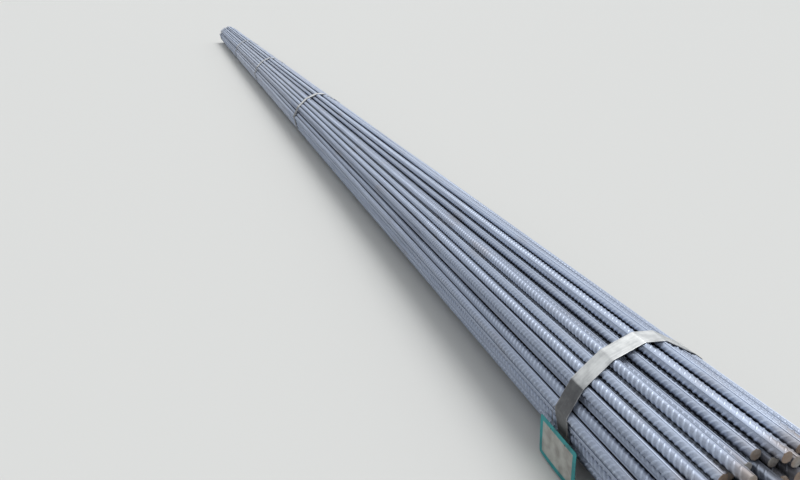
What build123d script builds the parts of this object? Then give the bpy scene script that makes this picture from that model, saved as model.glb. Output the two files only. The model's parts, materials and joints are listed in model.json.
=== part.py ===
# A bundle of ribbed reinforcing bars, lying on a level floor and held by steel straps.
# X runs along the bars, Z is up, and the origin is on the floor under the middle of the bundle.
# Millimetres throughout. Each bar has the area of its nominal round, so it weighs what the ribbed bar weighs.

import math
import os
import random

from build123d import *

# Bars
bar_d = 16.0            # nominal diameter
bar_length = 9000.0     # length that the bars are sold in
bar_count = 147
bar_sides = 16          # the round is drawn with flats, because there are so many bars
rib_stand = 0.85        # the ribs hold a bar's nominal round this far off what it lies against
stagger = 25.0          # the bars' ends stand out of or back from the bundle's end by up to this

# Settling of the heap, in bar spacings
heap_seed = 12          # picks one of the many ways in which the bars can lie
heap_wide = 1.10        # how much wider than high the heap is gathered
squeeze = 0.02          # pull of the straps towards the middle, in each step
weight = 0.009          # sinking under its own weight, in each step
start_spread = 0.66     # how loosely the bars start
jolt = 0.2              # how far each bar starts from its place on the spiral
near = 1.7              # bars further apart than this can't push each other
look_round = 8          # steps between two looks at which bars are near
pull_steps = 240        # steps in which the straps and the weight pull
settle_steps = 320      # steps in all

# Straps
strap_w = 32.0
strap_t = 1.0
end_strap = 250.0       # from the end of the bars to the middle of the first strap
next_strap = 2700.0     # from the end of the bars to the middle of the second strap
lap_tail = 14.0         # free end of the strap beyond its seal
bend_slack = 0.15       # a bar that stands out less than this doesn't bend the strap

# Seals
seal_l = 52.0
seal_t = 0.6
seal_gap = 0.05
lip_w = 9.0             # each lip is folded in under the strap by this much
crimp_depth = 0.35
crimp_r = 3.0
crimp_pitch = 12.0

# Tag and its tie
tag_w = 100.0
tag_h = 70.0
tag_t = 0.6
tag_gap = 0.3           # between the tag and the strap
tag_clear = 4.0         # least height of the tag's foot above the floor
tag_corner = 4.0
tie_below_top = 8.0     # from the tag's top edge down to its holes
tie_drop = 40.0         # from the strap's widest point down to the tag's holes
tie_d = 0.6
tie_sides = 6           # the wire is drawn with flats and sharp bends, because it is so thin
tie_gap = 0.2           # between the tie's legs and the tag's back
tie_hole_d = 3.0
tie_span = 40.0         # between the tag's two holes, one on each side of the strap

spacing = bar_d + rib_stand
strap_in = bar_d / 2 + rib_stand
strap_out = strap_in + strap_t
dice = random.Random(heap_seed)


# The heap: bars start on a loose spiral, the straps pull them together, their weight lays them on the floor,
# and bars that come too near push each other apart. Places are in bar spacings.
def settled_heap():
    turn = math.pi * (3 - math.sqrt(5))
    bars = []
    for i in range(bar_count):
        reach = start_spread * math.sqrt(i + 0.5)
        across = reach * heap_wide * math.cos(i * turn) + dice.uniform(-jolt, jolt)
        up = reach / heap_wide * math.sin(i * turn) + dice.uniform(-jolt, jolt)
        bars.append([across, up])
    lowest = min(up for _, up in bars)
    for bar in bars:
        bar[1] -= lowest
    for step in range(settle_steps):
        if step % look_round == 0:
            pairs = near_pairs(bars)
        if step < pull_steps:
            gather(bars)
            pushes = 4
        else:
            pushes = 12
        for _ in range(pushes):
            push_apart(bars, pairs)
    middle = sum(across for across, _ in bars) / bar_count
    return [(across - middle, up) for across, up in bars]


def near_pairs(bars):
    pairs = []
    for i, one in enumerate(bars):
        for other in bars[:i]:
            if abs(one[0] - other[0]) < near and abs(one[1] - other[1]) < near:
                pairs.append((one, other))
    return pairs


def gather(bars):
    middle = sum(across for across, _ in bars) / bar_count
    height = sum(up for _, up in bars) / bar_count
    for bar in bars:
        bar[0] -= squeeze * (bar[0] - middle) / heap_wide
        bar[1] -= squeeze * (bar[1] - height) * heap_wide + weight


def push_apart(bars, pairs):
    for one, other in pairs:
        across = one[0] - other[0]
        up = one[1] - other[1]
        apart = math.hypot(across, up)
        if apart < 1:
            share = (1 - apart) / (2 * apart)
            one[0] += across * share
            one[1] += up * share
            other[0] -= across * share
            other[1] -= up * share
    for bar in bars:
        bar[1] = max(bar[1], 0)


# The bars that a tight strap bends round, in order round the bundle
def outermost(bars):
    def half(points):
        chain = []
        for point in points:
            while len(chain) > 1 and turns_in(chain[-2], chain[-1], point):
                chain.pop()
            chain.append(point)
        return chain[:-1]

    ordered = sorted(bars)
    return half(ordered) + half(ordered[::-1])


def turns_in(first, second, third):
    run_1 = (second[0] - first[0], second[1] - first[1])
    run_2 = (third[0] - first[0], third[1] - first[1])
    stands_out = (run_1[0] * run_2[1] - run_1[1] * run_2[0]) / math.hypot(*run_2)
    return stands_out <= bend_slack


# The seal's run: the longest of the strap's steep straight runs on the side away from the tag
def seal_run():
    steep = []
    for first, second in zip(bends, bends[1:] + bends[:1]):
        if abs(second[1] - first[1]) > abs(second[0] - first[0]) and first[0] < across_shift:
            steep.append((math.dist(first, second), first, second))
    return max(steep)[1:]


# A tight outline round the bars, a given distance outside their centres
def band_outline(reach):
    with BuildSketch() as outline:
        with BuildLine():
            Polyline(*bends, close=True)
        make_face()
        offset(amount=reach, kind=Kind.ARC, mode=Mode.REPLACE)
    return outline.sketch


heap = [(-across * spacing, up * spacing) for across, up in settled_heap()]
bends = outermost(heap)
tag_bend = max(bends)
tag_back = tag_bend[0] + strap_out + tag_gap
tie_front = tag_back + tag_t + 1.5 * tie_d

# Move the heap so that the finished bundle stands on the floor with its box centred on the origin
far_side = min(bends)[0] - strap_out
across_shift = -(far_side + tie_front) / 2
up_shift = strap_out
heap = [(y + across_shift, z + up_shift) for y, z in heap]
bends = outermost(heap)
tag_bend = max(bends)
tag_back += across_shift
tie_front += across_shift

# Each bar lies a little nearer one end than its neighbours, and one reaches the full stagger each way
slides = [dice.uniform(-1, 1) for _ in heap]
slide_mid = (max(slides) + min(slides)) / 2
slide_half = (max(slides) - min(slides)) / 2
slides = [stagger * (slide - slide_mid) / slide_half for slide in slides]

row_rise = spacing * math.sqrt(3) / 2
floor_row = min(z for _, z in heap)
levels = {}
for (y, z), slide in zip(heap, slides):
    levels.setdefault(round((z - floor_row) / row_rise), []).append((slide, y, z))

os.makedirs("parts", exist_ok=True)

# Bars, one node for each level of the heap
corner_reach = bar_d / 2 * math.sqrt(2 * math.pi / (bar_sides * math.sin(2 * math.pi / bar_sides)))
with BuildPart() as bar:
    with BuildSketch(Plane.YZ):
        RegularPolygon(corner_reach, bar_sides)
    extrude(amount=bar_length / 2, both=True)

for number, level in enumerate(sorted(levels), start=1):
    with BuildPart() as bars:
        with Locations(*levels[level]):
            add(bar.part, clean=False)
    bars.part.label = f"bars_level_{number:02d}"
    export_step(bars.part, f"parts/{bars.part.label}.step")

# Straps: a tight band round the heap, whose outer end laps over the run that the seal holds
seal_start, seal_end = seal_run()
seal_mid = ((seal_start[0] + seal_end[0]) / 2, (seal_start[1] + seal_end[1]) / 2)
run_way = Vector(0, seal_end[0] - seal_start[0], seal_end[1] - seal_start[1]).normalized()
held = min(seal_l, math.dist(seal_start, seal_end))
stations = [end_strap - bar_length / 2, next_strap - bar_length / 2, 0.0]
stations += [-station for station in stations[1::-1]]


# A plane at a strap's seal: X along the bars, Y out of the bundle, Z along the strap, 0 on its inner face
def seal_plane(station):
    out = run_way.cross(Vector(1, 0, 0))
    return Plane(origin=Vector(station, *seal_mid) + out * strap_in, x_dir=(1, 0, 0), z_dir=run_way)


for number, station in enumerate(stations, start=1):
    seat = seal_plane(station)

    with BuildPart() as strap:
        with BuildSketch(Plane.YZ.offset(station)):
            add(band_outline(strap_out))
            add(band_outline(strap_in), mode=Mode.SUBTRACT)
        extrude(amount=strap_w / 2, both=True)
        with BuildSketch(seat.offset(-held / 2)):
            with Locations((0, 1.5 * strap_t)):
                Rectangle(strap_w, strap_t)
        extrude(amount=held + lap_tail)
    strap.part.label = f"strap_{number}"
    export_step(strap.part, f"parts/{strap.part.label}.step")

    with BuildPart() as seal:
        inside_w = strap_w + 2 * seal_gap
        inside_h = 2 * strap_t + 2 * seal_gap
        with BuildSketch(seat.offset(-held / 2)):
            with Locations((0, strap_t)):
                Rectangle(inside_w + 2 * seal_t, inside_h + 2 * seal_t)
                Rectangle(inside_w, inside_h, mode=Mode.SUBTRACT)
            with Locations((0, -seal_gap - seal_t / 2)):
                Rectangle(strap_w - 2 * lip_w, 2 * seal_t, mode=Mode.SUBTRACT)
        extrude(amount=held)
        top = inside_h - seal_gap + seal_t
        crimps = [seat.from_local_coords((0, top + crimp_r - crimp_depth, step * crimp_pitch))
                  for step in (-1.5, -0.5, 0.5, 1.5)]
        with Locations(*crimps):
            Cylinder(crimp_r, strap_w / 2, rotation=(0, 90, 0), mode=Mode.SUBTRACT)
    seal.part.label = f"strap_seal_{number}"
    export_step(seal.part, f"parts/{seal.part.label}.step")

# Tag: a card hanging below the first strap's widest point, on the side away from the seal
hole_z = max(tag_bend[1] - tie_drop, tag_clear + tag_h - tie_below_top)
hole_z = min(hole_z, tag_bend[1] - 6 * tie_d)
with BuildPart() as tag:
    with BuildSketch(Plane(origin=(stations[0], tag_back, hole_z), x_dir=(-1, 0, 0), z_dir=(0, 1, 0))):
        with Locations((0, tie_below_top - tag_h / 2)):
            RectangleRounded(tag_w, tag_h, tag_corner)
        with Locations((-tie_span / 2, 0), (tie_span / 2, 0)):
            Circle(tie_hole_d / 2, mode=Mode.SUBTRACT)
    extrude(amount=tag_t)
tag.part.label = "tag"
export_step(tag.part, "parts/tag.step")

# Tie: a thin wire behind the strap, whose two legs hang down beside the strap and end through the tag's holes
tie_back = tag_bend[0] + bar_d / 2 + rib_stand / 2
leg_y = tag_back - tie_gap - tie_d / 2
near_leg, far_leg = stations[0] - tie_span / 2, stations[0] + tie_span / 2
leg = [(tie_front, hole_z), (leg_y, hole_z), (leg_y, tag_bend[1]), (tie_back, tag_bend[1])]
wire_run = [(near_leg, y, z) for y, z in leg] + [(far_leg, y, z) for y, z in leg[::-1]]
with BuildPart() as tie:
    with BuildLine() as wire:
        Polyline(*wire_run)
    with BuildSketch(Plane(origin=wire_run[0], z_dir=(0, -1, 0))):
        RegularPolygon(tie_d / 2, tie_sides)
    sweep(transition=Transition.RIGHT)
tie.part.label = "tag_tie"
export_step(tie.part, "parts/tag_tie.step")
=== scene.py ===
# %% [markdown]
# # A bundle of ribbed reinforcing bars
# Hot-rolled bars lie side by side in a settled heap, and steel straps hold them. The CAD model gives the
# place and length of every bar, the straps, their seals and a tag. What it leaves out is what makes the
# bars look like reinforcing steel: the slanted ribs, the two long fins, the sheared ends and the
# blue-grey mill scale.
#
# Everything here is worked out from the CAD frame, in metres, with X along the bars.

# %% Load the frame
import json
import math
import random

import bmesh
import bpy
from mathutils import Matrix, Vector


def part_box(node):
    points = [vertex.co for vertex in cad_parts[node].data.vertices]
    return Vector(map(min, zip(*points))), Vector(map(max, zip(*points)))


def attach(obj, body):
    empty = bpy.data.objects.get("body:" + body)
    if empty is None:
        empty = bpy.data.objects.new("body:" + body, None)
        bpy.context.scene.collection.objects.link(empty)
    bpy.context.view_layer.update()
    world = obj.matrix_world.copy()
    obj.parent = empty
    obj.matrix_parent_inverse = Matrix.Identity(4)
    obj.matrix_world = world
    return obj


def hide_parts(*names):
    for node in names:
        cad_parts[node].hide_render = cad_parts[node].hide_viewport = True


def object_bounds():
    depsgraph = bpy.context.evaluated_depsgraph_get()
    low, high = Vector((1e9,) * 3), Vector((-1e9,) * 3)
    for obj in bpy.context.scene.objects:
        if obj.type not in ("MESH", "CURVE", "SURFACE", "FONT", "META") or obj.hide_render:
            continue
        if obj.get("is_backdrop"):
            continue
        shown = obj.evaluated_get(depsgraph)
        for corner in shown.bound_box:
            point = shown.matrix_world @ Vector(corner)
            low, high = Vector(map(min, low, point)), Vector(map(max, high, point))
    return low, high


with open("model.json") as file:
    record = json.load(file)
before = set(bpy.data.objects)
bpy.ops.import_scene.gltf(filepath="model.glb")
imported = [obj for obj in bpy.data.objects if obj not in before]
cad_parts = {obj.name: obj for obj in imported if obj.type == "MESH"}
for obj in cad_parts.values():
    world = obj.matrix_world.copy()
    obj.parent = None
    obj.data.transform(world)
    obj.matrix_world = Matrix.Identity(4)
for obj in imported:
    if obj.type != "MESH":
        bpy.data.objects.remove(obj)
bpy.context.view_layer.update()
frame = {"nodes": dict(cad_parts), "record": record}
dice = random.Random(16)

# %% [markdown]
# ## The camera
# It stands beyond the near end of the bundle, to its left and above it, and looks along the bars and
# down. Its lens, its place and its aim come from the photograph's perspective: the bars run to one
# vanishing point, and the outline of the near strap fixes the distance. The lengths are taken from that
# strap's left side and its top.

# %% Place the camera
strap_low, strap_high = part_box("strap_1")
strap_corner = Vector(((strap_low.x + strap_high.x) / 2, strap_high.y, strap_high.z))
camera_back = 0.691
camera_left = 0.459
camera_up = 0.466
camera_right_axis = Vector((-0.300, -0.954, 0.0))
camera_up_axis = Vector((0.340, -0.107, 0.934))
sensor_w = 36
focal_share = 660 / 800

camera_data = bpy.data.cameras.new("camera")
camera_data.sensor_width = sensor_w
camera_data.lens = sensor_w * focal_share
camera_data.clip_start = 0.02
camera = bpy.data.objects.new("camera", camera_data)
across = camera_right_axis.normalized()
backward = across.cross(camera_up_axis).normalized()
upward = backward.cross(across)
turn = Matrix((across, upward, backward)).transposed().to_4x4()
camera_place = strap_corner + Vector((-camera_back, camera_left, camera_up))
camera.matrix_world = Matrix.Translation(camera_place) @ turn
bpy.context.scene.collection.objects.link(camera)
bpy.context.scene.camera = camera
print("camera at", [round(value, 3) for value in camera.location])

# %% [markdown]
# ## Where the bars lie
# Each CAD node is one level of the heap and holds several separate bars. Merging each node's loose
# triangles gives islands, one for each bar, and an island's box gives the bar's axis and its two ends.

# %% Read the bars
levels = sorted(name for name in frame["nodes"] if name.startswith("bars_level"))
weld_within = 1e-5


def island(seed):
    """All the corners that hang together with one corner."""
    found = {seed}
    waiting = [seed]
    while waiting:
        for edge in waiting.pop().link_edges:
            for corner in edge.verts:
                if corner not in found:
                    found.add(corner)
                    waiting.append(corner)
    return found


def merged(node):
    """A copy of a node's mesh with its loose triangles joined up."""
    shape = bmesh.new()
    shape.from_mesh(frame["nodes"][node].data)
    bmesh.ops.remove_doubles(shape, verts=shape.verts, dist=weld_within)
    return shape


def bars_in(node):
    """The bars of one level: each one's axis and ends."""
    shape = merged(node)
    left = set(shape.verts)
    bars = []
    while left:
        corners = island(next(iter(left)))
        left -= corners
        places = [corner.co for corner in corners]
        near = min(place.x for place in places)
        far = max(place.x for place in places)
        y = (min(place.y for place in places) + max(place.y for place in places)) / 2
        z = (min(place.z for place in places) + max(place.z for place in places)) / 2
        bars.append({"node": node, "near": near, "far": far, "y": y, "z": z})
    shape.free()
    return sorted(bars, key=lambda bar: (bar["y"], bar["z"]))


bars = [bar for node in levels for bar in bars_in(node)]
print(len(bars), "bars in", len(levels), "levels")

# %% [markdown]
# ## Which sides of a bar can be seen
# A rib that faces a neighbour is never seen, and nine metres of bar has 900 ribs on each side. So each
# bar is tested in 36 directions across the bundle, and a row of ribs is made only where some direction
# near it is free. The same test tells how deep in a groove each side of a bar is. The finish paints
# shade there, darker the deeper the side lies: painted shade for the light that the neighbours keep off.

# %% Find the open directions
bar_r = 0.008
look_steps = 36


def open_directions(bar):
    """The directions, in radians round the X axis from +Y, in which nothing stands in the way."""
    others = [(other["y"] - bar["y"], other["z"] - bar["z"]) for other in bars if other is not bar]
    free = []
    for step in range(look_steps):
        angle = 2 * math.pi * step / look_steps
        way = (math.cos(angle), math.sin(angle))
        blocked = False
        for y, z in others:
            ahead = y * way[0] + z * way[1]
            aside = abs(y * way[1] - z * way[0])
            if ahead > 0 and aside < bar_r:
                blocked = True
                break
        if not blocked:
            free.append(angle)
    return free


def apart(first, second):
    """The angle between two directions."""
    return abs((first - second + math.pi) % (2 * math.pi) - math.pi)


def depths(bar):
    """For each direction, how far round the bar the nearest open direction is."""
    ways = [2 * math.pi * step / look_steps for step in range(look_steps)]
    return [min((apart(way, angle) for angle in bar["open"]), default=math.pi) for way in ways]


for bar in bars:
    bar["open"] = open_directions(bar)
    bar["depths"] = depths(bar)
    bar["roll"] = dice.uniform(0, math.pi)
    bar["tone"] = dice.random()
print(sum(1 for bar in bars if bar["open"]), "bars show along their length")

# %% [markdown]
# ## How the bars wander
# A long bar is never quite straight. Between two straps it wanders by about a millimetre, and under a
# strap it can't. Past the last strap it is free. The wander is one smooth curve for each bar, and its
# ribs follow it.

# %% Give each bar its wander
strap_names = sorted(name for name in frame["nodes"] if name.startswith("strap_") and "seal" not in name)
stations = sorted((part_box(name)[0].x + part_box(name)[1].x) / 2 for name in strap_names)
wander = 0.0008
free_end = 0.25
end_freedom = 0.7
span_power = 0.7
slow_share, quick_share = 0.6, 0.4
for bar in bars:
    bar["waves"] = [(dice.uniform(2.0, 5.0), dice.uniform(0, 2 * math.pi)) for _ in range(4)]


def freedom(x):
    """0 under a strap, 1 midway between two."""
    if x <= stations[0]:
        return min(1, (stations[0] - x) / free_end) * end_freedom
    if x >= stations[-1]:
        return min(1, (x - stations[-1]) / free_end) * end_freedom
    for left, right in zip(stations, stations[1:]):
        if left <= x <= right:
            return math.sin(math.pi * (x - left) / (right - left)) ** span_power
    return 0


def wandered(bar, x):
    """How far the bar's axis is from straight at x, across and up."""
    if not bar["open"]:
        return 0, 0
    reach = wander * freedom(x)
    (rate_1, phase_1), (rate_2, phase_2), (rate_3, phase_3), (rate_4, phase_4) = bar["waves"]
    y = slow_share * math.sin(rate_1 * x + phase_1) + quick_share * math.sin(2 * rate_2 * x + phase_2)
    z = slow_share * math.sin(rate_3 * x + phase_3) + quick_share * math.sin(2 * rate_4 * x + phase_4)
    return reach * y, reach * z


# %% [markdown]
# ## The bar's core
# A rolled bar has a round core and two long fins where the rolls meet. One ring of corners has that
# section: it starts as a circle and its corners slide to their angles. The ring is then extruded along
# the bar, station by station, so that the bar can bend a little. The ends are cut by a shear, so they
# lean and have a worn rim.

# %% Make the core of a bar
core_r = 0.00765
fin_h = 0.0010
side_angles = [-72, -54, -36, -18, 0, 18, 36, 54, 72]
fin_angles = [(82, 0), (86.5, 1), (93.5, 1), (98, 0)]
station_gap = 0.45
shear_lean = 0.10
least_lean = 0.2
rim = 0.0007
rim_back = rim * 0.8
sharp_turn = math.radians(38)

section = []
for half in (0, 180):
    section += [(math.radians(half + angle), core_r) for angle in side_angles]
    section += [(math.radians(half + angle), core_r + fin_h * top) for angle, top in fin_angles]


def add_core(shape, bar):
    """The round core and fins of one bar, about the X axis, with its two cut ends."""
    ring = bmesh.ops.create_circle(shape, segments=len(section), radius=core_r)["verts"]
    for corner, (angle, reach) in zip(ring, section):
        corner.co = (bar["near"], reach * math.cos(angle), reach * math.sin(angle))
    edges = list(shape.edges)
    near_edges = edges
    length = bar["far"] - bar["near"]
    count = round(length / station_gap) if bar["open"] else 1
    for _ in range(count):
        grown = bmesh.ops.extrude_edge_only(shape, edges=edges)["geom"]
        corners = [item for item in grown if isinstance(item, bmesh.types.BMVert)]
        edges = [item for item in grown if isinstance(item, bmesh.types.BMEdge)]
        bmesh.ops.translate(shape, vec=(length / count, 0, 0), verts=corners)
    for face in shape.faces:
        face.smooth = True
    cut_end(shape, near_edges, -1)
    cut_end(shape, edges, 1)
    bmesh.ops.recalc_face_normals(shape, faces=shape.faces)
    for edge in shape.edges:
        edge.smooth = edge.calc_face_angle(0) < sharp_turn


def cut_end(shape, edge_ring, out):
    """A sheared end face: it leans, and its rim is worn back."""
    lean = dice.uniform(0, 2 * math.pi)
    slope = dice.uniform(least_lean, 1) * shear_lean
    for corner in {corner for edge in edge_ring for corner in edge.verts}:
        leaning = corner.co.y * math.cos(lean) + corner.co.z * math.sin(lean)
        corner.co.x -= out * slope * (core_r + fin_h + leaning)
    face = bmesh.ops.contextual_create(shape, geom=edge_ring)["faces"][0]
    worn = bmesh.ops.inset_individual(shape, faces=[face], thickness=rim, depth=0)["faces"]
    for corner in {corner for cap in worn for corner in cap.verts} - set(face.verts):
        corner.co.x -= out * rim_back
    for cap in worn + [face]:
        cap.material_index = 1
        cap.smooth = False


# %% [markdown]
# ## The ribs
# The ribs are crescents: highest in the middle of each side, running out to nothing before the fins, and
# slanted. On one side of the bar they slant one way, on the other side the other way. One crescent is a
# small grid bent round the core. It has more faces near the two ends, where one looks closely, and is
# plainer further in. An Array modifier sets copies of it a pitch apart, which makes a row, and the rows
# are turned to each bar's own roll.
#
# Nine metres of such ribs on every bar would be far too many triangles. So the middle of the bundle has
# its ribs in the finish: each corner of the core notes which rib it is at and how high that rib is there,
# and the finish raises the surface from those two numbers. They follow the same sums as the crescents, so
# the rows run on.

# %% Make one crescent and a row of them
rib_h = 0.00112
rib_pitch = 0.010
rib_foot = 0.0058
rib_crest = 0.0024
rib_reach = math.radians(80)
rib_slant = math.radians(57)
rib_sunk = 0.0002
tip_share = 0.4


def swell_at(angle):
    """How high a rib is at an angle from the middle of its side: 1 there, 0 where it runs out."""
    return math.sqrt(max(0, 1 - abs(angle / rib_reach) ** 3))


def slant_at(angle, hand):
    """How far along the bar a rib's crest has moved at an angle from the middle of its side."""
    return hand * core_r * angle / math.tan(rib_slant)


def crescent(name, along, over, hand):
    """One rib as a mesh: a grid with so many faces along it and over it, bent round the core."""
    shape = bmesh.new()
    bmesh.ops.create_grid(shape, x_segments=along, y_segments=over, size=1)
    crest_mark = shape.verts.layers.float.new("crest")
    for corner in shape.verts:
        angle = corner.co.x * rib_reach
        side = corner.co.y
        swell = swell_at(angle)
        on_foot = abs(side) > 0.9
        width = rib_foot if on_foot else rib_crest if over > 2 else 0
        half = width / 2 * (tip_share + (1 - tip_share) * swell)
        height = -rib_sunk if on_foot else rib_h * swell
        x = slant_at(angle, hand) + math.copysign(half, side)
        corner.co = (x, (core_r + height) * math.cos(angle), (core_r + height) * math.sin(angle))
        corner[crest_mark] = 0 if on_foot else swell
    for face in shape.faces:
        face.smooth = over > 2
    bmesh.ops.recalc_face_normals(shape, faces=shape.faces)
    middle = min(shape.faces, key=lambda face: abs(face.calc_center_median().z))
    if middle.normal.y < 0:
        bmesh.ops.reverse_faces(shape, faces=shape.faces)
    mesh = bpy.data.meshes.new(name)
    shape.to_mesh(mesh)
    shape.free()
    return mesh


def row(unit, count):
    """So many copies of one rib, a pitch apart, as one mesh."""
    carrier = bpy.data.objects.new(unit.name, unit)
    bpy.context.scene.collection.objects.link(carrier)
    array = carrier.modifiers.new("pitch", "ARRAY")
    array.use_relative_offset = False
    array.use_constant_offset = True
    array.constant_offset_displace = (rib_pitch, 0, 0)
    array.count = count
    graph = bpy.context.evaluated_depsgraph_get()
    mesh = bpy.data.meshes.new_from_object(carrier.evaluated_get(graph))
    bpy.data.objects.remove(carrier)
    return mesh


rib_margin = 0.008
shortest = min(bar["far"] - bar["near"] for bar in bars)
rib_total = int((shortest - 2 * rib_margin) / rib_pitch) - 1
near_count, plain_count, far_count, hidden_count = 90, 200, 60, 5
far_first = rib_total - far_count
grids = {"fine": (6, 3), "plain": (4, 2)}
shown_runs = [("fine", 0, near_count), ("plain", near_count, plain_count),
              ("plain", far_first - plain_count, plain_count), ("fine", far_first, far_count)]
hidden_runs = [("plain", 0, hidden_count), ("plain", rib_total - hidden_count, hidden_count)]
rows = {}
for hand in (1, -1):
    for kind, first, count in shown_runs + hidden_runs:
        if (kind, count, hand) not in rows:
            rows[kind, count, hand] = row(crescent(f"{kind}_rib", *grids[kind], hand), count)
print(rib_total, "ribs on a side;", len(rows), "kinds of row")

# %% [markdown]
# ## Whole bars
# A side of a bar gets its long rows if any open direction lies near its middle. The core's corners take
# their two rib numbers here, and every corner of a bar takes four more for its finish: the bar's own
# tone, its distance from the nearer end, whether it is on a crest, and how deep in a groove it lies. Then
# the bar is turned to its roll and moved to its place.

# %% Build one bar
see_within = math.radians(66)
groove_reach = math.radians(27)
turns = {1: 0, -1: math.pi}


def shown(bar, turn):
    """Whether the side of a bar that is turned so far from its roll can be seen along the bundle."""
    return any(apart(bar["roll"] + turn, angle) < see_within for angle in bar["open"])


def note_ribs(shape, bar, first_rib):
    """Notes on each corner of the core the number of the rib there, and how high that rib is."""
    crest, rib, swell = (shape.verts.layers.float[name] for name in ("crest", "rib", "swell"))
    seen = {hand: shown(bar, turn) for hand, turn in turns.items()}
    for corner in shape.verts:
        angle = math.atan2(corner.co.z, corner.co.y)
        hand = 1 if abs(angle) < math.pi / 2 else -1
        aside = (angle - turns[hand] + math.pi) % (2 * math.pi) - math.pi
        corner[rib] = (corner.co.x - first_rib - slant_at(aside, hand)) / rib_pitch
        corner[swell] = swell_at(aside) if seen[hand] else 0
        corner[crest] = 1 if math.hypot(corner.co.y, corner.co.z) > core_r + fin_h / 2 else 0


def add_ribs(shape, bar, first_rib):
    """The ribs of a bar's two sides: long rows where they can be seen, otherwise a few near the ends."""
    for hand, turn in turns.items():
        for kind, first, count in shown_runs if shown(bar, turn) else hidden_runs:
            ribs = rows[kind, count, hand].copy()
            start = first_rib + first * rib_pitch
            ribs.transform(Matrix.Translation((start, 0, 0)) @ Matrix.Rotation(turn, 4, "X"))
            shape.from_mesh(ribs)
            bpy.data.meshes.remove(ribs)


def depth_at(bar, angle):
    """How deep in a groove a side of the bar is: 0 in the open, 1 out of sight."""
    step = angle / (2 * math.pi) * look_steps
    before = math.floor(step)
    share = step - before
    first, second = bar["depths"][before % look_steps], bar["depths"][(before + 1) % look_steps]
    return min(1, (first * (1 - share) + second * share) / groove_reach)


def bar_mesh(bar):
    """One whole bar in its place, with the numbers that its finish reads."""
    shape = bmesh.new()
    for name in ("tone", "end", "crest", "groove", "rib", "swell"):
        shape.verts.layers.float.new(name)
    add_core(shape, bar)
    first_rib = bar["near"] + rib_margin + dice.uniform(0, rib_pitch)
    note_ribs(shape, bar, first_rib)
    add_ribs(shape, bar, first_rib)
    tone, end, groove = (shape.verts.layers.float[name] for name in ("tone", "end", "groove"))
    cosine, sine = math.cos(bar["roll"]), math.sin(bar["roll"])
    for corner in shape.verts:
        x, y, z = corner.co
        corner[groove] = depth_at(bar, math.atan2(z, y) + bar["roll"])
        aside, above = wandered(bar, x)
        rolled_y, rolled_z = y * cosine - z * sine, y * sine + z * cosine
        corner.co = (x, rolled_y + bar["y"] + aside, rolled_z + bar["z"] + above)
        corner[tone] = bar["tone"]
        corner[end] = min(x - bar["near"], bar["far"] - x)
    mesh = bpy.data.meshes.new("bar")
    shape.to_mesh(mesh)
    shape.free()
    return mesh


# %% Make the pieces of the bars
def new_piece(shape, name, node):
    """Makes a finished shape the visual piece of a CAD node."""
    mesh = bpy.data.meshes.new(name)
    shape.to_mesh(mesh)
    shape.free()
    piece = bpy.data.objects.new(name, mesh)
    bpy.context.scene.collection.objects.link(piece)
    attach(piece, "root")
    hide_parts(node)
    return piece


bar_pieces = []
total = 0
for number, level in enumerate(levels, start=1):
    shape = bmesh.new()
    for bar in bars:
        if bar["node"] == level:
            mesh = bar_mesh(bar)
            shape.from_mesh(mesh)
            bpy.data.meshes.remove(mesh)
    piece = new_piece(shape, f"ribbed_bars_{number:02d}", level)
    bar_pieces.append(piece)
    triangles = sum(len(face.vertices) - 2 for face in piece.data.polygons)
    total += triangles
    print(piece.name, triangles, "triangles")
print("all bars", total, "triangles")

# %% [markdown]
# ## Finishes as sums
# A finish is a tree of nodes. Wrapping a socket in a small class lets the tree be written as sums, such
# as `rust * streaks + 0.2`, and one method makes any other node from its type, its settings and its
# inputs.

# %% The finish maker
class Value:
    """A socket that can be added, multiplied and mixed."""

    def __init__(self, finish, socket):
        self.finish = finish
        self.socket = socket

    def __add__(self, other):
        return self.finish.maths("ADD", self, other)

    __radd__ = __add__

    def __mul__(self, other):
        return self.finish.maths("MULTIPLY", self, other)

    __rmul__ = __mul__

    def __sub__(self, other):
        return self.finish.maths("SUBTRACT", self, other)

    def __rsub__(self, other):
        return self.finish.maths("SUBTRACT", other, self)

    def between(self, low, high):
        """0 below low, 1 above high, and a smooth rise between them."""
        settings = {"interpolation_type": "SMOOTHSTEP"}
        inputs = {"Value": self, "From Min": low, "From Max": high}
        return self.finish.node("ShaderNodeMapRange", settings, inputs)


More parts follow.
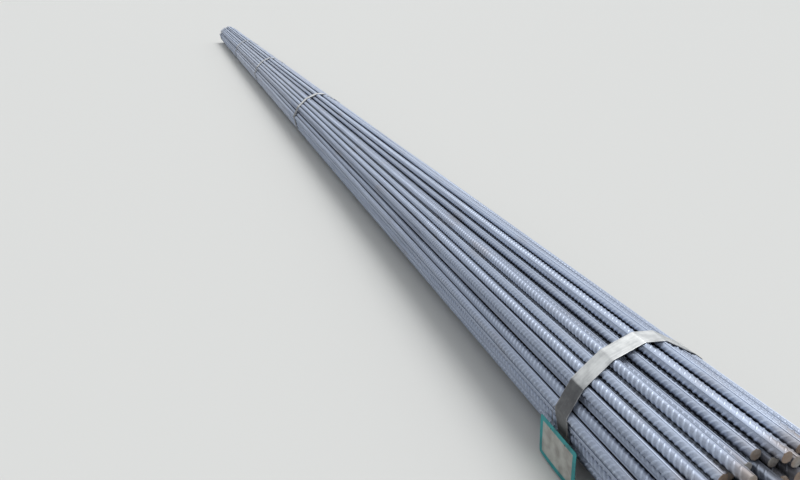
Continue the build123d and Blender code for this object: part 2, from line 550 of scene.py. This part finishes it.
class Finish:
    """The node tree of a material or of the sky, round the one shader that it starts with."""

    def __init__(self, owner, shader="Principled BSDF"):
        owner.use_nodes = True
        self.owner = owner
        self.nodes = owner.node_tree.nodes
        self.links = owner.node_tree.links
        self.shader = self.nodes[shader]

    def node(self, kind, settings=None, inputs=None, output=0):
        """Any node: its settings first, then the values or links of its sockets."""
        made = self.nodes.new(kind)
        for name, value in (settings or {}).items():
            setattr(made, name, value)
        for name, value in (inputs or {}).items():
            self.feed(made.inputs[name], value)
        return Value(self, made.outputs[output])

    def feed(self, socket, value):
        """Links a value to a socket, or writes a number or colour into it."""
        if isinstance(value, Value):
            self.links.new(value.socket, socket)
        else:
            socket.default_value = value

    def maths(self, operation, first, second):
        """One sum of two numbers."""
        return self.node("ShaderNodeMath", {"operation": operation}, {0: first, 1: second})

    def mixed(self, share, first, second):
        """A colour between two colours."""
        settings = {"data_type": "RGBA"}
        return self.node("ShaderNodeMix", settings, {0: share, 6: first, 7: second}, output=2)

    def place(self, stretch):
        """Object coordinates, stretched."""
        where = self.node("ShaderNodeTexCoord", output=3)
        return self.node("ShaderNodeMapping", None, {"Vector": where, "Scale": stretch})

    def noise(self, where, scale, detail=3.0, roughness=0.5):
        """Cloudy numbers about 0.5."""
        inputs = {"Vector": where, "Scale": scale, "Detail": detail, "Roughness": roughness}
        return self.node("ShaderNodeTexNoise", None, inputs)

    def mark(self, name):
        """A number that the mesh carries on its corners."""
        return self.node("ShaderNodeAttribute", {"attribute_name": name}, output=2)

    def bump(self, height, depth):
        """A normal for a relief: a height of 1 stands so deep, in metres."""
        inputs = {"Height": height, "Distance": depth, "Strength": 1.0}
        return self.node("ShaderNodeBump", None, inputs)

    def surface(self, **sockets):
        """Feeds the shader's sockets, named with _ for a space."""
        for name, value in sockets.items():
            self.feed(self.shader.inputs[name.replace("_", " ")], value)


def new_finish(name):
    """A finish on a new material."""
    return Finish(bpy.data.materials.new(name))


# %% [markdown]
# ## Mill scale
# Hot-rolled steel cools under a thin blue-grey oxide. It is half metallic and fairly smooth, with long
# streaks from the rolls and small specks. Each bar is a little lighter or darker than the next. The
# crests of the ribs and fins are lighter, partly as rubbed wear and partly as a painted highlight, and
# the scale is browner within a hand's breadth of the cut ends. Sides deep in a groove are painted near
# black as painted shade, a little less near the ends. The same material draws the ribs past the fine
# ones: they rise where the rib number is near a whole number, and their crests get the same lightening.

# %% The bars' finish
grain_share = 0.22
brown_reach = 0.05
dark_reach = 0.06


def mill_scale():
    """The rolled sides of the bars, with the drawn ribs."""
    steel = new_finish("mill_scale")
    tone = steel.mark("tone")
    end = steel.mark("end")
    groove = steel.mark("groove")
    rib = steel.mark("rib")
    from_crest = steel.maths("PINGPONG", rib, 0.5)
    ridge = 1 - from_crest.between(rib_crest / 2 / rib_pitch, rib_foot / 2 / rib_pitch)
    past_near = steel.maths("GREATER_THAN", rib, near_count - 0.5)
    before_far = steel.maths("LESS_THAN", rib, far_first - 0.5)
    drawn = ridge * steel.mark("swell") * past_near * before_far
    crest = steel.mark("crest") + drawn
    streaks = steel.noise(steel.place((2.0, 90.0, 90.0)), 2.2, 4.0)
    specks = steel.noise(steel.place((1.0, 1.0, 1.0)), 420.0, 2.0)
    blotches = steel.noise(steel.place((0.35, 1.0, 1.0)), 24.0, 3.0)
    light = (0.50, 0.57, 0.71, 1)
    dark = (0.25, 0.285, 0.37, 1)
    black = (0.012, 0.015, 0.026, 1)
    brown = (0.26, 0.205, 0.165, 1)
    # painted highlight, partly rubbed wear: crests of ribs and fins, and the drawn ribs, are mixed
    # lighter
    share = streaks * 0.55 + specks * 0.30 + tone * 0.30 + crest * 0.18 - 0.10
    colour = steel.mixed(share.between(0.15, 0.85), dark, light)
    warm = blotches.between(0.56, 0.80) * 0.30
    near_end = (1 - end.between(0.0, brown_reach)) * blotches.between(0.30, 0.65) * 0.8
    colour = steel.mixed(warm, colour, brown)
    colour = steel.mixed(near_end, colour, brown)
    # painted shade: sides deep in a groove go near black, a little less within dark_reach of the cut ends
    painted_groove_shade = groove.between(0.05, 0.8) * (0.60 + end.between(0.0, dark_reach) * 0.38)
    colour = steel.mixed(painted_groove_shade, colour, black)
    rough = 0.42 - crest * 0.07 + specks * 0.12
    bumps = steel.bump((specks * 0.6 + streaks * 0.4) * grain_share + drawn, rib_h)
    steel.surface(Base_Color=colour, Metallic=0.45, Roughness=rough, Normal=bumps)
    return steel.owner


def sheared_steel():
    """The cut ends of the bars: grey, more or less marked with light rust."""
    steel = new_finish("sheared_steel")
    grain = steel.noise(steel.place((1.0, 1.0, 1.0)), 320.0, 4.0)
    stain = steel.noise(steel.place((1.0, 1.0, 1.0)), 70.0, 3.0)
    tone = steel.mark("tone")
    bright = (0.40, 0.385, 0.365, 1)
    brown = (0.27, 0.20, 0.155, 1)
    dark = (0.12, 0.10, 0.09, 1)
    colour = steel.mixed((stain * 0.7 + tone * 0.5).between(0.35, 0.80), bright, brown)
    colour = steel.mixed(grain.between(0.5, 0.8) * 0.5, colour, dark)
    steel.surface(Base_Color=colour, Metallic=0.35, Roughness=0.62, Normal=steel.bump(grain, 0.0006))
    return steel.owner


bar_finishes = (mill_scale(), sheared_steel())
for piece in bar_pieces:
    for finish in bar_finishes:
        piece.data.materials.append(finish)
print("bars finished")

# %% [markdown]
# ## Straps and seals
# A strap's CAD shape is right, but its edges are sharp and it is as smooth as glass. So a merged copy of
# it is cut into narrow bands along its length, its edges are rounded by a bevel, and the corners between
# the bands are moved in or out by a hair, as in strapping that was pulled hard over the bars. The seals
# only get rounded edges. The outermost bands carry a mark, so that the finish can paint a highlight along
# them, and every corner notes how far its face looks up, so that the finish can paint the strap's sides
# darker than its top as painted shade.

# %% Soften the straps and seals
strap_edge_r = 0.00025
seal_edge_r = 0.00015
dent = 0.00012
band_cuts = (-0.0145, -0.009, -0.003, 0.003, 0.009, 0.0145)
wave_y, wave_z, wave_x, wave_step = 230, 310, 400, 5


def soften(shape, radius):
    """Rounds the outward edges of a shape."""
    edges = [edge for edge in shape.edges if edge.is_convex and edge.calc_face_angle(0) > sharp_turn]
    bmesh.ops.bevel(shape, geom=edges, offset=radius, offset_type="OFFSET", segments=2, profile=0.5,
                    affect="EDGES", clamp_overlap=True, material=-1)


def cut_across(shape, place, way):
    """A cut right through a shape, which leaves it whole."""
    everything = shape.verts[:] + shape.edges[:] + shape.faces[:]
    bmesh.ops.bisect_plane(shape, geom=everything, dist=1e-6, plane_co=place, plane_no=way)


fittings = {}
for number, node in enumerate(strap_names, start=1):
    shape = merged(node)
    low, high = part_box(node)
    middle = (low + high) / 2
    for cut in band_cuts:
        cut_across(shape, (middle.x + cut, 0, 0), (1, 0, 0))
    edge_band = band_cuts[-1] + weld_within
    inside = [corner for corner in shape.verts if abs(corner.co.x - middle.x) < edge_band]
    for corner in inside:
        way = Vector((0, corner.co.y - middle.y, corner.co.z - middle.z)).normalized()
        wave = math.sin(wave_y * corner.co.y + wave_step * number)
        wave *= math.cos(wave_z * corner.co.z + wave_x * corner.co.x)
        corner.co -= way * dent * (0.5 + 0.5 * wave)
    soften(shape, strap_edge_r)
    shape.normal_update()
    edge_mark = shape.verts.layers.float.new("edge")
    up_mark = shape.verts.layers.float.new("up")
    for corner in shape.verts:
        corner[edge_mark] = 1 if abs(corner.co.x - middle.x) > edge_band else 0
        corner[up_mark] = corner.normal.z
    for face in shape.faces:
        face.smooth = True
    fittings[node] = new_piece(shape, f"tight_strap_{number}", node)
for number in range(1, len(strap_names) + 1):
    node = f"strap_seal_{number}"
    shape = merged(node)
    soften(shape, seal_edge_r)
    fittings[node] = new_piece(shape, f"crimped_seal_{number}", node)
print("straps and seals", sum(len(piece.data.polygons) for piece in fittings.values()), "faces")

# %% [markdown]
# ## The tag
# Card that hangs outdoors curls. The copy of the tag is cut into a grid of small faces, and its lower
# corners bend in under the bundle, where there is room for them.

# %% Curl the tag
curl = 0.004
side_curl = 0.6
straight_top = 0.012
columns, lines = 10, 7
shape = merged("tag")
low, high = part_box("tag")
middle = (low + high) / 2
for step in range(1, columns):
    cut_across(shape, (low.x + (high.x - low.x) * step / columns, 0, 0), (1, 0, 0))
for step in range(1, lines):
    cut_across(shape, (0, 0, low.z + (high.z - low.z) * step / lines), (0, 0, 1))
for corner in shape.verts:
    aside = (corner.co.x - middle.x) / (high.x - middle.x)
    down = max(0, (high.z - straight_top - corner.co.z) / (high.z - low.z))
    corner.co.y -= curl * down * ((1 - side_curl) * down + side_curl * aside * aside)
fittings["tag"] = new_piece(shape, "curled_tag", "tag")
fittings["tag_tie"] = frame["nodes"]["tag_tie"]
print("tag", len(fittings["tag"].data.polygons), "faces")

# %% [markdown]
# ## Finishes of straps, seals, tag and tie
# Dull bright strapping, greyer in clouds, with painted shade on its sides and a painted highlight along
# its edges; pressed seals; a blank grey card painted darker as painted shade, with a teal border; and
# dark soft wire.

# %% Finishes of the fittings
def strap_steel():
    """Strapping: bright where it faces the sky, painted shade on its sides, a painted highlight on its
    edges.
    """
    steel = new_finish("strap_steel")
    grey = (0.46, 0.47, 0.48, 1)
    bright = (0.76, 0.77, 0.77, 1)
    dark = (0.075, 0.075, 0.08, 1)
    painted_edge_highlight = (0.86, 0.85, 0.83, 1)
    cloud = steel.noise(steel.place((1.0, 1.0, 1.0)), 34.0, 5.0, 0.6)
    streak = steel.noise(steel.place((60.0, 6.0, 6.0)), 6.0, 3.0)
    edge = steel.mark("edge")
    share = (cloud * 0.75 + streak * 0.35).between(0.30, 0.75)
    colour = steel.mixed(share, grey, bright)
    # painted shade: faces that look less far up are painted darker, so the sides are darker than the top
    painted_side_shade = 1 - (steel.mark("up") + cloud * 0.4 - 0.2).between(0.40, 0.80)
    colour = steel.mixed(painted_side_shade * 0.88, colour, dark)
    # painted highlight along the strap's outermost bands
    colour = steel.mixed(edge * streak.between(0.4, 0.6) * 0.6, colour, painted_edge_highlight)
    rough = 0.30 + cloud * 0.25
    bumps = steel.bump(cloud + streak * 0.3, 0.0005)
    steel.surface(Base_Color=colour, Metallic=0.85, Roughness=rough, Normal=bumps)
    return steel.owner


def seal_steel():
    """Pressed seals, evenly grey."""
    steel = new_finish("seal_steel")
    grey = (0.42, 0.42, 0.42, 1)
    bright = (0.62, 0.62, 0.63, 1)
    cloud = steel.noise(steel.place((1.0, 1.0, 1.0)), 60.0, 4.0)
    colour = steel.mixed(cloud.between(0.3, 0.7), grey, bright)
    rough = 0.28 + cloud * 0.2
    steel.surface(Base_Color=colour, Metallic=0.85, Roughness=rough, Normal=steel.bump(cloud, 0.0003))
    return steel.owner


border_w = 0.008
border_blur = 0.0006


def tag_card():
    """Blank weathered card with a border along its edge, its grey face painted darker as painted shade.
    """
    card = new_finish("tag_card")
    low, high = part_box("tag")
    middle = (low + high) / 2
    where = card.node("ShaderNodeTexCoord", output=3)
    apart_x = card.node("ShaderNodeSeparateXYZ", None, {"Vector": where}, output=0)
    apart_z = card.node("ShaderNodeSeparateXYZ", None, {"Vector": where}, output=2)
    from_side = (high.x - middle.x) - card.maths("ABSOLUTE", apart_x - middle.x, 0.0)
    from_top = (high.z - middle.z) - card.maths("ABSOLUTE", apart_z - middle.z, 0.0)
    from_edge = card.maths("MINIMUM", from_side, from_top)
    border = 1 - from_edge.between(border_w, border_w + border_blur)
    cloud = card.noise(where, 55.0, 4.0)
    # the card's own grey, painted darker still as painted shade
    grey = card.mixed(cloud.between(0.3, 0.75), (0.42, 0.42, 0.39, 1), (0.24, 0.23, 0.21, 1))
    teal = card.mixed(cloud.between(0.4, 0.8), (0.010, 0.27, 0.28, 1), (0.015, 0.13, 0.14, 1))
    colour = card.mixed(border, grey, teal)
    card.surface(Base_Color=colour, Roughness=0.5, Normal=card.bump(cloud, 0.0004))
    return card.owner


def tie_wire():
    """Soft dark wire."""
    wire = new_finish("tie_wire")
    cloud = wire.noise(wire.place((1.0, 1.0, 1.0)), 200.0, 2.0)
    colour = wire.mixed(cloud, (0.12, 0.11, 0.10, 1), (0.24, 0.20, 0.17, 1))
    wire.surface(Base_Color=colour, Metallic=0.6, Roughness=0.5)
    return wire.owner


makers = {"strap_steel": strap_steel, "seal_steel": seal_steel,
          "tag_card": tag_card, "tie_wire": tie_wire}
finishes = {slot: make() for slot, make in makers.items()}
for part in frame["record"]["subparts"]:
    if part["node"] in fittings:
        mesh = fittings[part["node"]].data
        mesh.materials.clear()
        mesh.materials.append(finishes[part["material_slot"]])
print("fittings finished")

# %% [markdown]
# ## Floor and light
# A plain pale floor, one broad soft lamp above, and a sky that is bright overhead and dim at its rim, as
# on an overcast day. So the tops of the bars shine and the grooves between them stay dark. The sky is
# bright down to the rim past the far end only, and that is what the bars mirror where one looks along
# them at a low angle. The camera sees the sky as a plain pale backdrop, which adds no light.

# %% Floor and light
floor_size = 40
shape = bmesh.new()
bmesh.ops.create_grid(shape, x_segments=1, y_segments=1, size=floor_size)
floor_mesh = bpy.data.meshes.new("floor")
shape.to_mesh(floor_mesh)
shape.free()
floor = bpy.data.objects.new("floor", floor_mesh)
bpy.context.scene.collection.objects.link(floor)
floor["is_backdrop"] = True
pale = new_finish("pale_floor")
pale.surface(Base_Color=(0.56, 0.56, 0.55, 1), Roughness=0.9)
floor_mesh.materials.append(pale.owner)

rim_colour = (0.16, 0.18, 0.21, 1)
zenith_colour = (0.98, 1.0, 1.0, 1)
far_colour = (1.0, 1.0, 1.0, 1)
backdrop_colour = (0.71, 0.72, 0.715, 1)
world = bpy.data.worlds.new("sky")
bpy.context.scene.world = world
sky = Finish(world, "Background")
direction = sky.node("ShaderNodeTexCoord", output=3)
height = sky.node("ShaderNodeSeparateXYZ", None, {"Vector": direction}, output=2)
overcast = sky.mixed(height.between(-0.1, 1.0), rim_colour, zenith_colour)
along_bars = sky.node("ShaderNodeSeparateXYZ", None, {"Vector": direction}, output=0)
overcast = sky.mixed(along_bars.between(0.80, 1.0), overcast, far_colour)
seen = sky.node("ShaderNodeLightPath")
backdrop = sky.mixed(seen, overcast, backdrop_colour)
sky.surface(Color=backdrop, Strength=1.0)

lamp_data = bpy.data.lights.new("broad_lamp", "SUN")
lamp_data.energy = 1.7
lamp_data.angle = math.radians(40)
lamp = bpy.data.objects.new("broad_lamp", lamp_data)
lamp_way = Vector((-0.25, 0.40, -1.0))
lamp.rotation_euler = lamp_way.to_track_quat("-Z", "Y").to_euler()
bpy.context.scene.collection.objects.link(lamp)

bpy.context.scene.view_settings.view_transform = "Standard"

# %% Note the sizes and finish
low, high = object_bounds()
print("visual box", [round(side, 4) for side in high - low])
